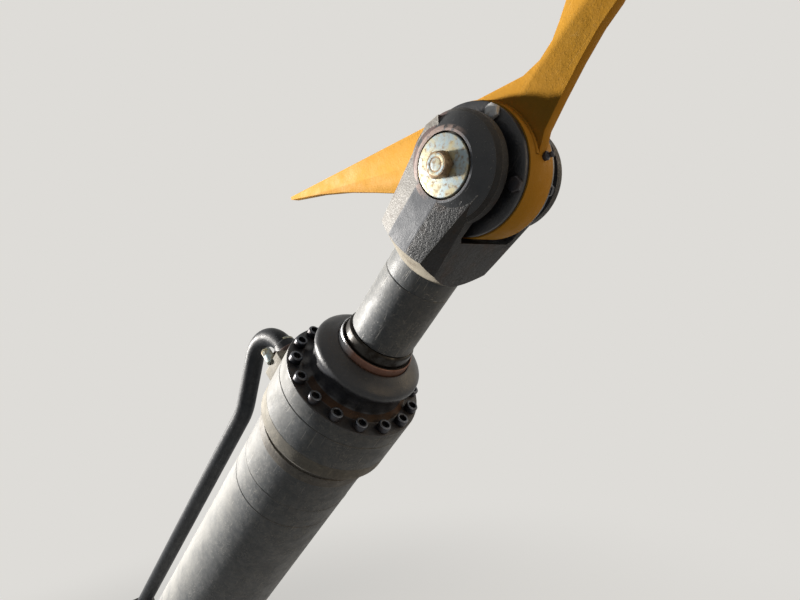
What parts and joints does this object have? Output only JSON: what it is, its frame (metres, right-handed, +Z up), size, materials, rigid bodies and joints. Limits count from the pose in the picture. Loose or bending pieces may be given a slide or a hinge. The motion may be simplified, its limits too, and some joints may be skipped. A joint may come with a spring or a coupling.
{
  "type": "tipping cylinder with fork end and body lug, from a dump truck",
  "caption": "Hydraulic tipping cylinder of a dump truck: barrel with oil line, sliding rod, fork end and pin, carrying the body's welded lug.",
  "frame": {"origin": "centre of the lower eye's bearing bore, where the pin on the truck's frame goes", "axes": "+X to the truck's rear, +Y along the pins towards the truck's middle, +Z up; the closed cylinder leans 36.5 degrees above +X"},
  "size_m": [2.2893, 0.2515, 1.7266],
  "materials": {
    "grey_paint": "satin",
    "black_paint": "satin",
    "pipe_paint": "gloss",
    "fork_iron": "rough",
    "yellow_paint": "satin",
    "chromed_rod": "polished",
    "bare_steel": "satin",
    "zinc": "satin",
    "rusty_steel": "rough"
  },
  "bodies": {
    "barrel": {"barrel_tube": "grey_paint", "base_eye": "grey_paint", "base_bearing": "bare_steel", "base_rings": "black_paint", "base_ring_bolts": "zinc", "base_port": "grey_paint", "head": "grey_paint", "gland": "black_paint", "gland_screws": "black_paint", "scraper": "rusty_steel", "port_flange": "rusty_steel", "port_screws": "zinc", "pipe": "pipe_paint", "pipe_nut": "zinc", "pipe_clamps": "grey_paint", "clamp_bolts": "zinc"},
    "rod": {"rod": "chromed_rod", "rod_neck": "grey_paint", "piston": "bare_steel", "fork": "fork_iron", "pin": "bare_steel", "pin_sleeves": "bare_steel", "pin_washers": "zinc", "pin_bolts": "zinc", "pin_spacers": "bare_steel", "bearing_inner": "bare_steel"},
    "lug": {"lug": "yellow_paint", "bearing_outer": "bare_steel", "lug_rings": "black_paint", "lug_ring_bolts": "zinc"}
  },
  "joints": [
    {"name": "rod_slide", "type": "slide", "parent": "barrel", "child": "rod", "axis": [0.8039, 0, 0.5948], "range_m": [0, 1.68]},
    {"name": "lug_pivot", "type": "hinge", "parent": "rod", "child": "lug", "pos_m": [1.92926, 0, 1.42758], "axis": [0, 1, 0], "range_deg": [0, 62]}
  ]
}
